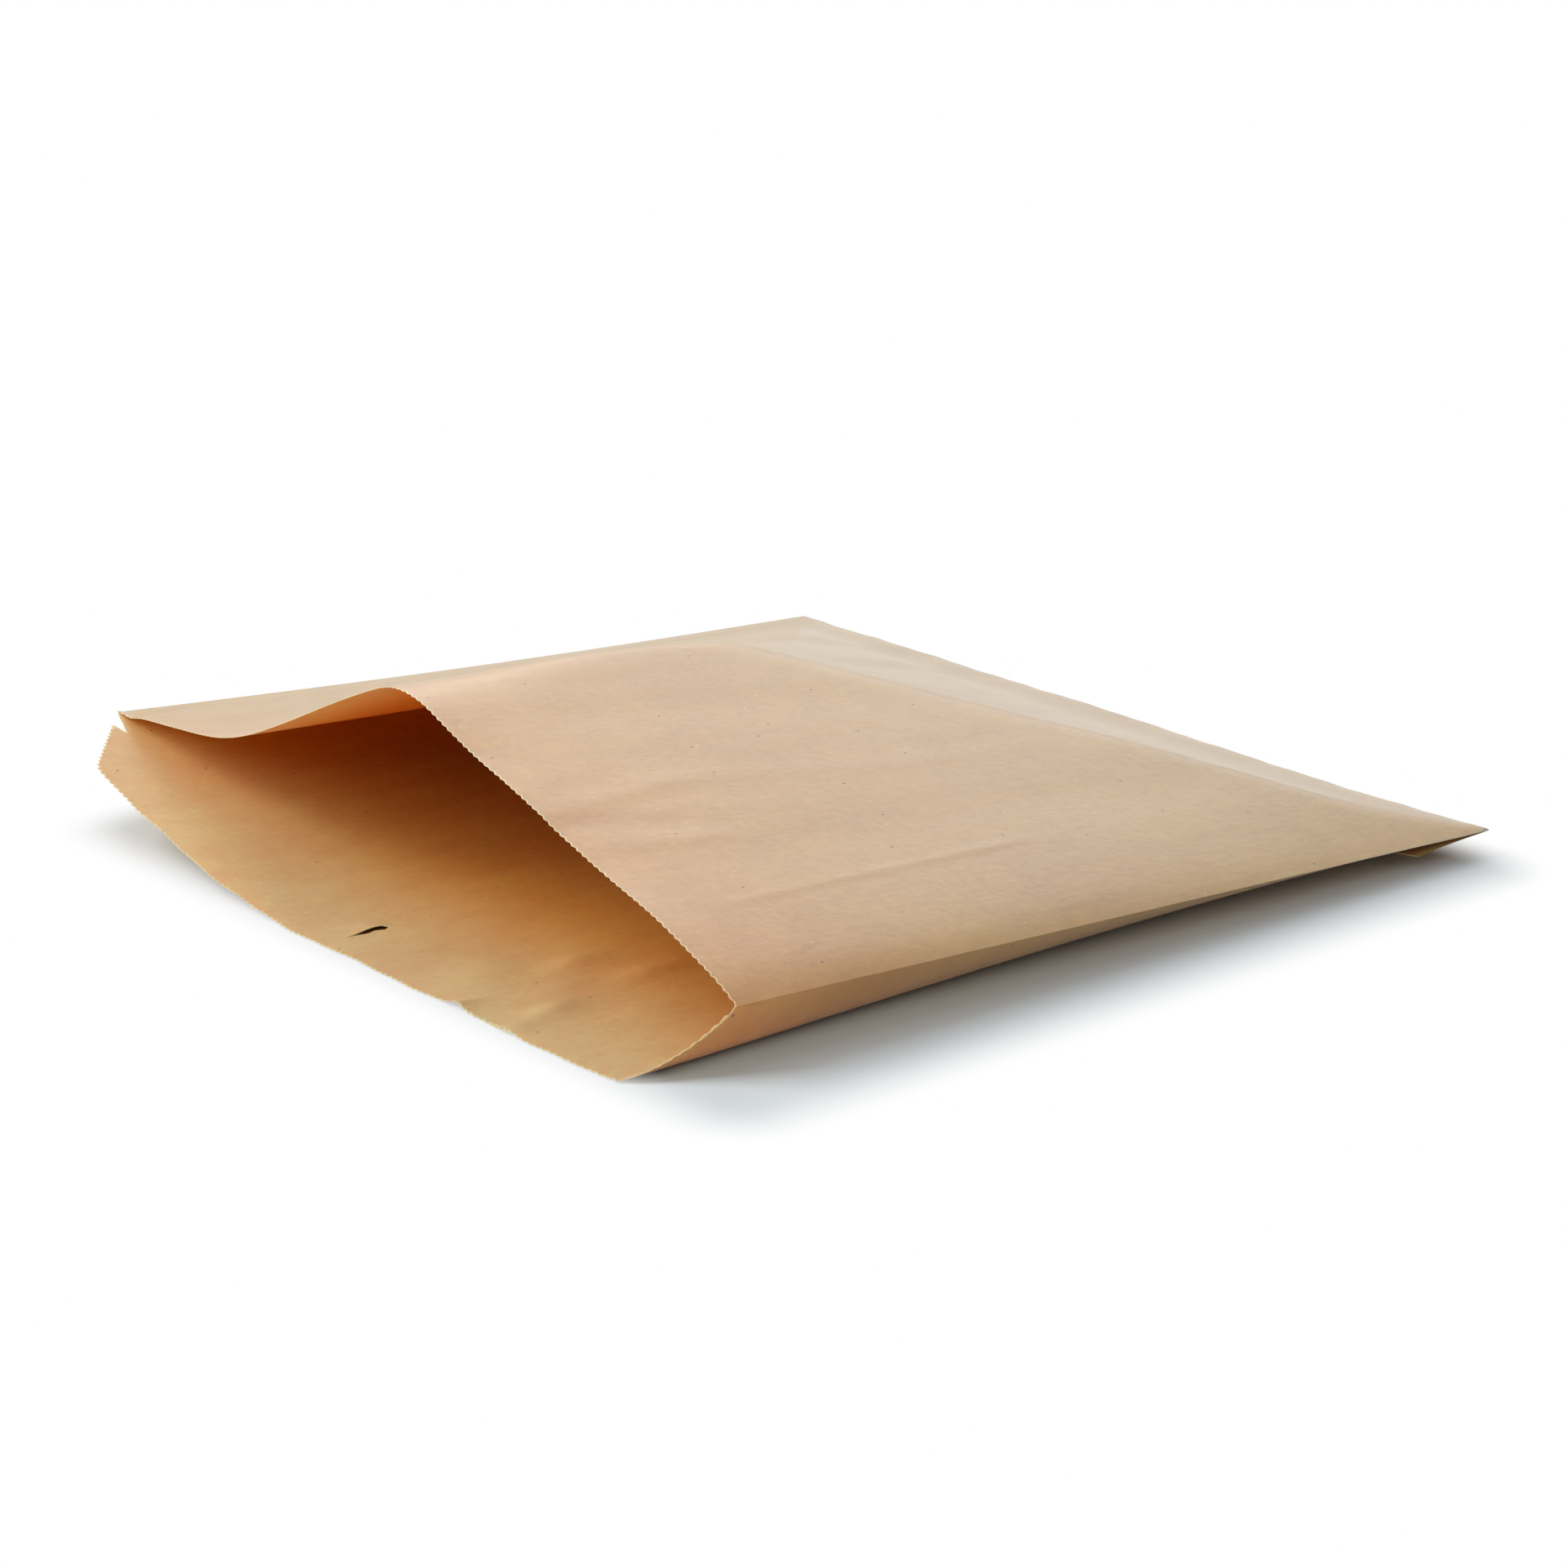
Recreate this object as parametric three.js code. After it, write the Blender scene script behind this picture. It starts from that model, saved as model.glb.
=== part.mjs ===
// A flat kraft paper bag, lying on its back panel with its mouth gaping a little.
// The real bag is one sheet: wrapped into a flat tube, glued along a lap down the back panel,
// cut at the mouth by a toothed knife that leaves the back panel longer as a lip, and closed
// by folding the end of the tube under and gluing it down. It is built here as one solid.
//
// Millimetres, +Z up. +X runs from the mouth to the closed end, +Y from the near crease to the
// far crease, and the origin is under the middle of the bag, on the table.
// On the sheet itself, "along" is the distance from the front panel's mouth edge and "across"
// the distance from the near crease, both measured on the flat bag.
import * as THREE from 'three';
import { mergeVertices } from 'three/addons/utils/BufferGeometryUtils.js';

// Sizes of the flat bag
const bagWidth = 250;
const frontLength = 227;
const lipLength = 22;
const paperThickness = 0.1;
const lapFromNearCrease = 49;
const lapWidth = 21;
const flapLength = 25;
const toothPitch = 2;
const toothDepth = 0.5;

// The lip's slanted sides, its round near corner, and the tear beside the far crease
const lipNearRun = 12;
const lipFarRun = 26;
const lipCornerRound = 5;
const tearShoulderAlong = 5.5;
const tearShoulderAcross = 6;
const tearEndAlong = 4;
const tearEndAcross = 10.5;

// The slit torn through the lip, which runs along the bag
const slitFromLipEdge = 7;
const slitFromNearCrease = 123.5;
const slitLength = 11.7;
const slitWidth = 1.3;

// How the two side creases lie: they come in and up where the mouth gapes
const nearCreaseMouthHeight = 14.4;
const nearCreaseEndHeight = 5;
const farCreaseMouthHeight = 23.2;
const farCreaseEndHeight = 8.5;
const nearCreaseMouthInset = 7.8;
const farCreaseMouthInset = 5.2;
const farLipCurl = 0.25;

// How far in from its edges the back panel curves down to the table, and how fast
const nearRollAtMouth = 13;
const nearRollAtEnd = 28;
const farRoll = 108;
const endRoll = 60;
const nearRollPower = 2;
const farRollPower = 1.5;
const endRollPower = 2;

// The front panel stands up as a hipped roof: slopes from the near crease, the far crease and
// the closed end meet along a soft ridge. At the mouth the far slope starts from a low shoulder.
const nearSlopeAtMouth = 0.305;
const nearSlopeAtEnd = 0.27;
const nearPuff = 2.4;
const nearPuffReach = 6;
const farSlopeAtMouth = 0.47;
const farSlopeInside = 0.25;
const shoulderSlope = 0.09;
const shoulderWidth = 49;
const shoulderSoftness = 6.5;
const shoulderFadeStart = 45;
const shoulderFadeEnd = 159;
const endSlope = 0.27;
const ridgeSharpness = 14;

// The flap's near corner has come unglued and droops
const looseCornerWidth = 24;
const looseCornerDroop = 2;

// The inside stops short of the creases and of the closed end, where the paper is folded shut
const creaseFillAtMouth = 0.25;
const creaseFillAtEnd = 1.5;
const endFill = 2;
const leastAir = 0.04;

// Spacing of the facets, and how close two corners are to be one
const edgeBand = 4;
const rowStep = 11;
const columnStep = 11;
const rollColumnStep = 3;
const flapRows = 4;
const lipRows = 3;
const lapStep = 0.4;
const slitFacets = 6;
const weldDistance = 1e-4;

const { lerp, clamp, smoothstep } = THREE.MathUtils;
const flapEdge = frontLength - flapLength;
const lapFarEdge = lapFromNearCrease + lapWidth;

// The sheet as it lies

// The straight line from crease to crease: its place, and the distance from each crease along it
function chord(along, across) {
  const share = along / frontLength;
  const inside = Math.max(share, 0);
  const nearY = nearCreaseMouthInset * (1 - inside);
  const farY = bagWidth - farCreaseMouthInset * (1 - inside);
  const nearZ = lerp(nearCreaseMouthHeight, nearCreaseEndHeight, share);
  const curl = farLipCurl * Math.max(-along, 0);
  const farZ = lerp(farCreaseMouthHeight, farCreaseEndHeight, inside) + curl;
  const part = across / bagWidth;
  return {
    y: lerp(nearY, farY, part),
    z: lerp(nearZ, farZ, part),
    fromNear: part * (farY - nearY),
    fromFar: (1 - part) * (farY - nearY),
  };
}

// The far slope at the mouth: it crosses the low shoulder and then turns up softly
function shoulderRise(distance) {
  const bend = (reach) => shoulderSoftness * Math.log1p(Math.exp(reach / shoulderSoftness));
  const pastShoulder = bend(distance - shoulderWidth) - bend(-shoulderWidth);
  return shoulderSlope * distance + (farSlopeAtMouth - shoulderSlope) * pastShoulder;
}

function frontHeight(along, across) {
  const { z, fromNear, fromFar } = chord(along, across);
  const share = clamp(along / frontLength, 0, 1);
  const fade = smoothstep(along, shoulderFadeStart, shoulderFadeEnd);
  const puff = nearPuff * (1 - share) * (1 - Math.exp(-fromNear / nearPuffReach));
  const rises = [
    lerp(nearSlopeAtMouth, nearSlopeAtEnd, share) * fromNear + puff,
    lerp(shoulderRise(fromFar), farSlopeInside * fromFar, fade),
    endSlope * (frontLength - along),
  ];
  if (Math.min(...rises) <= 0) return z;
  const sum = rises.reduce((total, rise) => total + rise ** -ridgeSharpness, 0);
  return z + sum ** (-1 / ridgeSharpness);
}

function backHeight(along, across) {
  const { z, fromNear, fromFar } = chord(along, across);
  const share = clamp(along / frontLength, 0, 1);
  const lift = (distance, roll, power) => clamp(1 - distance / roll, 0, 1) ** power;
  const nearLift = lift(fromNear, lerp(nearRollAtMouth, nearRollAtEnd, share), nearRollPower);
  const farLift = lift(fromFar, farRoll, farRollPower);
  const endLift = lift(frontLength - along, endRoll, endRollPower);
  return z * (1 - (1 - nearLift) * (1 - farLift) * (1 - endLift));
}

// The paper's thickness measured straight up, which is more where the paper is steep
function uprightThickness(height, along, across) {
  const reach = paperThickness;
  const slopeAlong = (height(along + reach, across) - height(along - reach, across)) / (2 * reach);
  const slopeAcross = (height(along, across + reach) - height(along, across - reach)) / (2 * reach);
  return paperThickness * Math.hypot(1, slopeAlong, slopeAcross);
}

// Flat pattern: rows and columns of points, the knife's cuts, and triangles between them.
// A point's x is its place along the bag and its y its place across.

function divide(start, end, step) {
  const pieces = Math.max(1, Math.ceil((end - start) / step));
  const stepped = Array.from({ length: pieces }, (_, k) => start + (end - start) * k / pieces);
  return [...stepped, end];
}

const columns = [
  ...divide(0, looseCornerWidth, rollColumnStep),
  ...divide(looseCornerWidth, lapFromNearCrease, columnStep).slice(1),
  ...divide(lapFromNearCrease + lapStep, lapFarEdge - lapStep, columnStep),
  ...divide(lapFarEdge, bagWidth, columnStep),
];
const flapDivisions = divide(flapEdge, frontLength, flapLength / flapRows);
const rows = [...divide(edgeBand, flapEdge, rowStep), ...flapDivisions.slice(1)];
const foldRow = rows[rows.length - 2];

const flatPoint = (along, across) => new THREE.Vector2(along, across);
const flatRow = (along) => columns.map((across) => flatPoint(along, across));
const panelRows = rows.map(flatRow);

// A cut by the toothed knife: every second point of an even run steps back into the paper,
// which lies to the right of the cut
function toothedCut(curve) {
  const steps = 2 * Math.max(1, Math.round(curve.getLength() / toothPitch));
  return curve.getSpacedPoints(steps).map((point, i) => {
    if (i % 2 === 0) return point;
    const { x, y } = curve.getTangentAt(i / steps);
    return flatPoint(point.x + y * toothDepth, point.y - x * toothDepth);
  });
}

// The lip's cut edge, from the near crease round to the far crease
function lipCut() {
  const nearCut = flatPoint(lipLength, -lipNearRun).setLength(lipCornerRound);
  const nearCorner = flatPoint(-lipLength, lipNearRun);
  const farCorner = flatPoint(-lipLength, bagWidth - lipFarRun);
  const shoulder = flatPoint(-tearShoulderAlong, bagWidth - tearShoulderAcross);
  const tearEnd = flatPoint(-tearEndAlong, bagWidth - tearEndAcross);
  const roundStart = nearCorner.clone().add(nearCut);
  const knife = new THREE.Path();
  knife.moveTo(0, 0);
  knife.lineTo(roundStart.x, roundStart.y);
  knife.quadraticCurveTo(nearCorner.x, nearCorner.y, nearCorner.x, nearCorner.y + lipCornerRound);
  knife.lineTo(farCorner.x, farCorner.y);
  const farSide = toothedCut(new THREE.LineCurve(farCorner, shoulder));
  return {
    toTear: [...toothedCut(knife), ...farSide.slice(1), tearEnd],
    fromTear: [tearEnd, flatPoint(0, bagWidth)],
  };
}

// Rows of points on the lip, which stop a band's width short of its cut
function lipRow(row) {
  return columns.map((across) => {
    const nearReach = (across - edgeBand) * lipLength / lipNearRun;
    const farReach = (bagWidth - across - tearEndAcross - edgeBand) * lipLength / lipFarRun;
    const reach = clamp(Math.min(nearReach, farReach), 0, lipLength - edgeBand);
    return flatPoint(-reach * row / lipRows, across);
  });
}

// A narrow lens with pointed ends
function slitCut() {
  const start = slitFromLipEdge - lipLength;
  const edge = new THREE.QuadraticBezierCurve(
    flatPoint(start, slitFromNearCrease),
    flatPoint(start + slitLength / 2, slitFromNearCrease + slitWidth),
    flatPoint(start + slitLength, slitFromNearCrease),
  ).getPoints(slitFacets);
  const otherEdge = edge.slice(1, -1).reverse();
  return [...edge, ...otherEdge.map(({ x, y }) => flatPoint(x, 2 * slitFromNearCrease - y))];
}

// Triangles between an outline and the hole inside it
function fillFrame(outline, hole) {
  const points = [...outline, ...hole];
  const faces = THREE.ShapeUtils.triangulateShape(outline, [hole]);
  return faces.map((face) => face.map((i) => points[i]));
}

const hasArea = (cell) => THREE.ShapeUtils.area(cell) !== 0;

// A band of triangles between two lines of points that run side by side
function fillBand(line, otherLine) {
  const cells = [];
  let [i, j] = [0, 0];
  while (i + 1 < line.length || j + 1 < otherLine.length) {
    const step = i + 1 < line.length ? line[i + 1].distanceTo(otherLine[j]) : Infinity;
    const otherStep = j + 1 < otherLine.length ? otherLine[j + 1].distanceTo(line[i]) : Infinity;
    if (step <= otherStep) cells.push([line[i], line[++i], otherLine[j]]);
    else cells.push([line[i], otherLine[j + 1], otherLine[j++]]);
  }
  return cells.filter(hasArea);
}

// Two triangles for each cell of a grid, apart from those that are left out or have no area.
// The first column is split the other way, so that no triangle has all its corners on folds.
function fillGrid(grid, isLeftOut = () => false) {
  const cells = [];
  for (let i = 0; i + 1 < grid.length; i++) {
    for (let j = 0; j + 1 < columns.length; j++) {
      if (isLeftOut(i, j)) continue;
      const [a, b, c, d] = [grid[i][j], grid[i + 1][j], grid[i + 1][j + 1], grid[i][j + 1]];
      if (j === 0) cells.push([a, b, d], [b, c, d]);
      else cells.push([a, b, c], [a, c, d]);
    }
  }
  return cells.filter(hasArea);
}

function frontPanel() {
  const mouthCut = toothedCut(new THREE.LineCurve(flatPoint(0, 0), flatPoint(0, bagWidth)));
  return [...fillBand(mouthCut, panelRows[0]), ...fillGrid(panelRows)];
}

function backPanel() {
  const lipGrid = Array.from({ length: lipRows }, (_, k) => lipRow(lipRows - k));
  const grid = [...lipGrid, flatRow(0), ...panelRows];

  // The band along the lip's cut is filled in two, on either side of the tear
  const { toTear, fromTear } = lipCut();
  const [shoulder, tearEnd] = toTear.slice(-2);
  const seesShoulder = (point) => THREE.ShapeUtils.area([shoulder, tearEnd, point]) < 0;
  const innerLine = lipGrid[0].slice(1, -1);
  const turn = innerLine.findLastIndex(seesShoulder);
  const lipBand = [
    ...fillBand(toTear, innerLine.slice(0, turn + 1)),
    ...fillBand(fromTear, innerLine.slice(turn)),
  ];

  // The cells round the slit are filled as one frame with the slit as its hole
  const slit = slitCut();
  const box = new THREE.Box2().setFromPoints(slit);
  const left = columns.findLastIndex((across) => across < box.min.y - slitWidth);
  const right = columns.findIndex((across) => across > box.max.y + slitWidth);
  const front = grid.findLastIndex((row) => row[left].x < box.min.x);
  const rear = grid.findIndex((row) => row[left].x > box.max.x + slitWidth);
  const frame = [
    ...grid[front].slice(left, right),
    ...grid.slice(front, rear).map((row) => row[right]),
    ...grid[rear].slice(left + 1, right + 1).toReversed(),
    ...grid.slice(front + 1, rear + 1).map((row) => row[left]).toReversed(),
  ];
  const inFrame = (i, j) => i >= front && i < rear && j >= left && j < right;
  return [...lipBand, ...fillFrame(frame, slit), ...fillGrid(grid, inFrame)];
}

// Skins: the same flat points laid on the outside and on the inside of the paper

const xMiddle = (frontLength - lipLength) / 2;

function place(along, across, height) {
  return new THREE.Vector3(along - xMiddle, chord(along, across).y - bagWidth / 2, height);
}

function flapDroop(along, across) {
  const fromFold = clamp((foldRow - along) / (foldRow - flapEdge), 0, 1);
  const fromGlue = clamp(1 - across / looseCornerWidth, 0, 1);
  return looseCornerDroop * fromFold * fromGlue;
}

// A point of the inside, moved clear of the creases and the closed end, with both its heights
function insidePoint(along, across) {
  const share = clamp(along / frontLength, 0, 1);
  const fill = lerp(creaseFillAtMouth, creaseFillAtEnd, share);
  const u = along - endFill * clamp((along - flapEdge) / flapLength, 0, 1);
  const v = lerp(fill, bagWidth - fill, across / bagWidth);
  const inLap = across > lapFromNearCrease && across < lapFarEdge;
  const layers = inLap ? 2 : 1;
  const over = backHeight(u, v) + layers * uprightThickness(backHeight, u, v);
  const under = frontHeight(u, v) - uprightThickness(frontHeight, u, v);
  const middle = (frontHeight(u, v) + backHeight(u, v)) / 2;
  const front = Math.max(under, middle + leastAir / 2);
  const back = along < 0 ? over : Math.min(over, middle - leastAir / 2);
  const isFold = across === 0 || across === bagWidth || along === frontLength;
  const fold = place(u, v, (front + back) / 2);
  if (isFold) return { front: fold, back: fold };
  return { front: place(u, v, front), back: place(u, v, back) };
}

const flapUpperHeight = (along, across) => backHeight(along, across) - flapDroop(along, across);
const twoPapers = (along, across) => 2 * uprightThickness(backHeight, along, across);

const skins = {
  frontOutside: (u, v) => place(u, v, frontHeight(u, v)),
  frontInside: (u, v) => insidePoint(u, v).front,
  backOutside: (u, v) => place(u, v, backHeight(u, v)),
  backInside: (u, v) => insidePoint(u, v).back,
  flapUpper: (u, v) => place(u, v, flapUpperHeight(u, v)),
  flapUnder: (u, v) => place(u, v, flapUpperHeight(u, v) - twoPapers(u, v)),
};

// Triangles of a skin, which faces up or down
function layDown(cells, skin, facesUp) {
  return cells.flatMap((cell) => {
    const corners = cell.map(({ x, y }) => skin(x, y));
    const turnsLeft = THREE.ShapeUtils.area(cell) > 0;
    return turnsLeft === facesUp ? corners : corners.toReversed();
  });
}

// The sides of a patch of cells that no two of its cells share, with the patch on their left
function openSides(cells) {
  const name = ({ x, y }) => `${x.toFixed(6)},${y.toFixed(6)}`;
  const sides = new Map();
  for (const cell of cells) {
    const [a, b, c] = THREE.ShapeUtils.area(cell) > 0 ? cell : cell.toReversed();
    for (const [p, q] of [[a, b], [b, c], [c, a]]) {
      const partner = `${name(q)} ${name(p)}`;
      if (sides.has(partner)) sides.delete(partner);
      else sides.set(`${name(p)} ${name(q)}`, [p, q]);
    }
  }
  return [...sides.values()];
}

// The paper's own edge: two triangles between its upper and lower skin for each open side
function closeEdge(sides, upperSkin, lowerSkin) {
  return sides.flatMap(([p, q]) => {
    const [lowP, lowQ] = [lowerSkin(p.x, p.y), lowerSkin(q.x, q.y)];
    const [highP, highQ] = [upperSkin(p.x, p.y), upperSkin(q.x, q.y)];
    return [lowP, lowQ, highQ, lowP, highQ, highP];
  });
}

function isCut([p, q]) {
  const alongCrease = p.y === q.y && (p.y === 0 || p.y === bagWidth);
  const alongClosedEnd = p.x === frontLength && q.x === frontLength;
  return !alongCrease && !alongClosedEnd;
}

function bagGeometry() {
  const front = frontPanel();
  const back = backPanel();
  const flap = back.filter((cell) => cell.every(({ x }) => x >= flapEdge));
  const isLoose = ({ x, y }) => x <= foldRow && y <= looseCornerWidth;
  const looseFlap = flap.filter((cell) => cell.every(isLoose));
  const uncovered = back.filter((cell) => !flap.includes(cell) || looseFlap.includes(cell));
  const corners = [
    ...layDown(front, skins.frontOutside, true),
    ...layDown(front, skins.frontInside, false),
    ...layDown(back, skins.backInside, true),
    ...layDown(uncovered, skins.backOutside, false),
    ...layDown(looseFlap, skins.flapUpper, true),
    ...layDown(flap, skins.flapUnder, false),
    ...closeEdge(openSides(front).filter(isCut), skins.frontOutside, skins.frontInside),
    ...closeEdge(openSides(back).filter(isCut), skins.backInside, skins.backOutside),
    ...closeEdge(openSides(flap), skins.flapUpper, skins.flapUnder),
  ];
  const geometry = mergeVertices(new THREE.BufferGeometry().setFromPoints(corners), weldDistance);
  geometry.computeVertexNormals();
  return geometry;
}

const kraftPaper = new THREE.MeshStandardMaterial({ color: '#c49e74', roughness: 0.8, metalness: 0 });
const paperBag = new THREE.Mesh(bagGeometry(), kraftPaper);
paperBag.name = 'paper_bag';

const bag = new THREE.Group();
bag.add(paperBag);

export default bag;
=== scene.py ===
# %% [markdown]
# # A flat kraft paper bag
#
# The real object is one sheet of brown kraft paper. Toothed knives cut it, a machine folds it to a
# flat tube and glues the lap down its back, and one end is folded under and glued. Here it lies on
# its back and gapes. The lesson follows the bag maker: cut the blank, tear it where it was torn,
# fold it, give it its thickness, and only then give it its finish. The sheet is worked out in
# millimetres, and goes into Blender in metres, in the frame of the solid part.

# %% Load the frame
import math

import bpy
import numpy as np
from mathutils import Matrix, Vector, kdtree


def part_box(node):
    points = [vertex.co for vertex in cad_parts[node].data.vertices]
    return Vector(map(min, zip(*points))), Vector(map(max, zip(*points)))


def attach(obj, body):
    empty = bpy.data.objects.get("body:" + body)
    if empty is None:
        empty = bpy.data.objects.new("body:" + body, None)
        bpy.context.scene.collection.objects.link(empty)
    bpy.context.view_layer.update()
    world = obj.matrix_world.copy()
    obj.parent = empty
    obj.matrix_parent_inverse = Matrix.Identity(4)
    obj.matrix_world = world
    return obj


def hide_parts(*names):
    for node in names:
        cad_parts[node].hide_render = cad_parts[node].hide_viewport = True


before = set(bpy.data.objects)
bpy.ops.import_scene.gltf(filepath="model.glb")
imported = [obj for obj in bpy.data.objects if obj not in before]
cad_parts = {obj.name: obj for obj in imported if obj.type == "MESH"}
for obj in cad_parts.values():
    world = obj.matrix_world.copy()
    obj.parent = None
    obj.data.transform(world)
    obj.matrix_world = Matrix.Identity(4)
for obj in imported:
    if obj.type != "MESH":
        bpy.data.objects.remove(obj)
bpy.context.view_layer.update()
MM = 0.001

# %% [markdown]
# ## The camera
#
# The camera was fitted to the corners of the bag in the photo: a long lens, a little above the
# table, looking across the mouth at the near corner. A camera in Blender looks down its own -Z,
# so it is first tipped up by a right angle less its pitch, and then turned about the vertical.

# %% Set the camera
CAMERA_PLACE = (-0.50765, -0.6066, 0.25813)
CAMERA_PITCH = 0.3016
CAMERA_YAW = 0.7067
bpy.ops.object.select_all(action="DESELECT")
bpy.ops.object.camera_add(location=CAMERA_PLACE, rotation=(math.pi / 2 - CAMERA_PITCH, 0, -CAMERA_YAW))
camera = bpy.context.object
camera.name = "photo_camera"
camera.data.sensor_width = 36
camera.data.lens = 78.77
bpy.context.scene.camera = camera
print("camera at", [round(v, 3) for v in camera.location], "lens", camera.data.lens, "mm")

# %% [markdown]
# ## The blank
#
# A bag maker thinks of the flat sheet first, because every crease is a straight line on it. The
# blank lies with its length along X and the way round the bag along Y: first the near part of the
# back panel, then the front panel, then the far part of the back panel, which is glued under the
# first. A grid is the natural primitive, because paper bends along rows and columns. One column
# is one millimetre, which also puts a column on each crease.

# %% Lay out the blank
low_corner, high_corner = (np.array(corner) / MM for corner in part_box("paper_bag"))
LIP = 22
FLAP = 25
LAP_NEAR_EDGE = 49
LAP_FAR_EDGE = 70
WIDTH = round(high_corner[1] - low_corner[1])
LENGTH = round(high_corner[0] - low_corner[0]) - LIP
NEAR_CREASE = LAP_FAR_EDGE
FAR_CREASE = LAP_FAR_EDGE + WIDTH
AROUND = 2 * WIDTH + LAP_FAR_EDGE - LAP_NEAR_EDGE
MOUTH_ROWS, PANEL_ROWS, FLAP_ROWS = 20, 60, 8
ROWS = MOUTH_ROWS + PANEL_ROWS + FLAP_ROWS

bpy.ops.object.select_all(action="DESELECT")
bpy.ops.mesh.primitive_grid_add(x_subdivisions=ROWS, y_subdivisions=AROUND, size=1)
bag = bpy.context.object
bag.name = "kraft_bag"


def read_points(piece):
    points = np.empty(len(piece.data.vertices) * 3)
    piece.data.vertices.foreach_get("co", points)
    return points.reshape(-1, 3)


def write_points(piece, points):
    piece.data.vertices.foreach_set("co", np.ascontiguousarray(points).ravel())
    piece.data.update()


points = read_points(bag)
row = np.rint((points[:, 0] + 0.5) * ROWS).astype(int)
column = np.rint((points[:, 1] + 0.5) * AROUND).astype(int)
print("blank", AROUND, "by", LENGTH + LIP + FLAP, "mm,", len(points), "points")

# %% [markdown]
# ## The toothed cut
#
# The knife leaves fine teeth along the mouth. The front panel is cut straight across, and swings
# out a little at the far crease. The back panel is cut longer, and slants in at both ends to make
# the lip that a thumb opens. Handling has worn the lip's edge in small waves, listed here as depth,
# pitch and lag. Each column starts at its own point of this outline, and every second point is set
# back by the depth of a tooth, so that the teeth need no faces of their own.

# %% Trace the knife's outline
TOOTH = 0.5
LIP_NEAR_RUN = 12
LIP_FAR_RUN = 26
CORNER_ROUND = 5
FAR_SWING = 1.5
SWING_RUN = 30
LIP_WEAR = 0.4
LIP_WAVES = [(0.25, 6.5, 0), (0.15, 2.7, 1)]
CORNER_COLUMNS = 3
NEAR_SLANT_COLUMNS = 19
FAR_SLANT_COLUMNS = 34


def trace(corners, counts):
    """Points along straight runs, with so many steps in each run."""
    runs = []
    for start, end, count in zip(corners[:-1], corners[1:], counts):
        share = np.linspace(0, 1, count + 1)[1:, None]
        runs.append((1 - share) * np.array(start) + share * np.array(end))
    return np.vstack([np.array([corners[0]], float)] + runs)


near_corner = np.array([-LIP, NEAR_CREASE - LIP_NEAR_RUN], float)
near_slant = np.array([0, NEAR_CREASE], float) - near_corner
near_slant /= np.linalg.norm(near_slant)
before_corner = near_corner - np.array([0, CORNER_ROUND])
after_corner = near_corner + CORNER_ROUND * near_slant
on_corner = (before_corner + 2 * near_corner + after_corner) / 4
near_edge_columns = NEAR_CREASE - 2 * CORNER_COLUMNS - NEAR_SLANT_COLUMNS
near_outline = trace(
    [(-LIP, 0), before_corner, on_corner, after_corner, (0, NEAR_CREASE)],
    [near_edge_columns, CORNER_COLUMNS, CORNER_COLUMNS, NEAR_SLANT_COLUMNS],
)
front_outline = trace(
    [(0, NEAR_CREASE), (0, FAR_CREASE - SWING_RUN), (-FAR_SWING, FAR_CREASE)],
    [WIDTH - SWING_RUN, SWING_RUN],
)
far_outline = trace(
    [(-FAR_SWING, FAR_CREASE), (-LIP, FAR_CREASE + LIP_FAR_RUN), (-LIP, AROUND)],
    [FAR_SLANT_COLUMNS, AROUND - FAR_CREASE - FAR_SLANT_COLUMNS],
)
outline = np.vstack([near_outline, front_outline[1:], far_outline[1:]])
on_lip = outline[:, 0] < 1 - LIP
lip_run = outline[on_lip, 1]
outline[on_lip, 0] += LIP_WEAR
for depth, pitch, lag in LIP_WAVES:
    outline[on_lip, 0] += depth * np.sin(lip_run / pitch + lag)
run = np.gradient(outline, axis=0)
inward = np.stack([run[:, 1], -run[:, 0]], axis=1)
inward /= np.linalg.norm(inward, axis=1)[:, None]
toothed = np.arange(len(outline)) % 2 == 1
outline[toothed] += TOOTH * inward[toothed]
print(int(toothed.sum()), "teeth on", len(outline), "columns")

# %% [markdown]
# ## The grid on the blank
#
# Below the outline the columns fan out to their even spacing, which they reach a little way inside
# the mouth. From there the rows run straight across to the fold at the closed end, and on through
# the flap. Moving the grid's own points is enough, so no new cut is needed.

# %% Move the grid onto the blank
EVEN_FROM = 24
mouth_share = np.clip(row / MOUTH_ROWS, 0, 1)[:, None]
panel_share = np.clip((row - MOUTH_ROWS) / PANEL_ROWS, 0, 1)
flap_share = np.clip((row - MOUTH_ROWS - PANEL_ROWS) / FLAP_ROWS, 0, 1)
even_start = np.stack([np.full(len(row), float(EVEN_FROM)), column.astype(float)], axis=1)
flat = (1 - mouth_share) * outline[column] + mouth_share * even_start
flat[:, 0] += panel_share * (LENGTH - EVEN_FROM) + flap_share * FLAP
points[:, :2] = flat * MM
points[:, 2] = 0
write_points(bag, points)
print("rows in the mouth every", EVEN_FROM / MOUTH_ROWS, "mm, in the panel every",
      round((LENGTH - EVEN_FROM) / PANEL_ROWS, 2), "mm")

# %% [markdown]
# ## The slit
#
# A slit runs along the middle of the lip, where the paper was torn. It is easiest to make while
# the sheet is flat. A knife cut would leave loose slivers, so part of one column of faces is taken
# out instead, and the rim that it leaves is drawn to the slit's wavy outline. The widths are read
# from the photo at six places along it.


# %% Cut the slit
def edit(piece, mode):
    bpy.ops.object.select_all(action="DESELECT")
    piece.select_set(True)
    bpy.context.view_layer.objects.active = piece
    bpy.ops.object.mode_set(mode="EDIT")
    bpy.ops.mesh.select_mode(type=mode)
    bpy.ops.mesh.select_all(action="DESELECT")
    bpy.ops.object.mode_set(mode="OBJECT")


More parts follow.
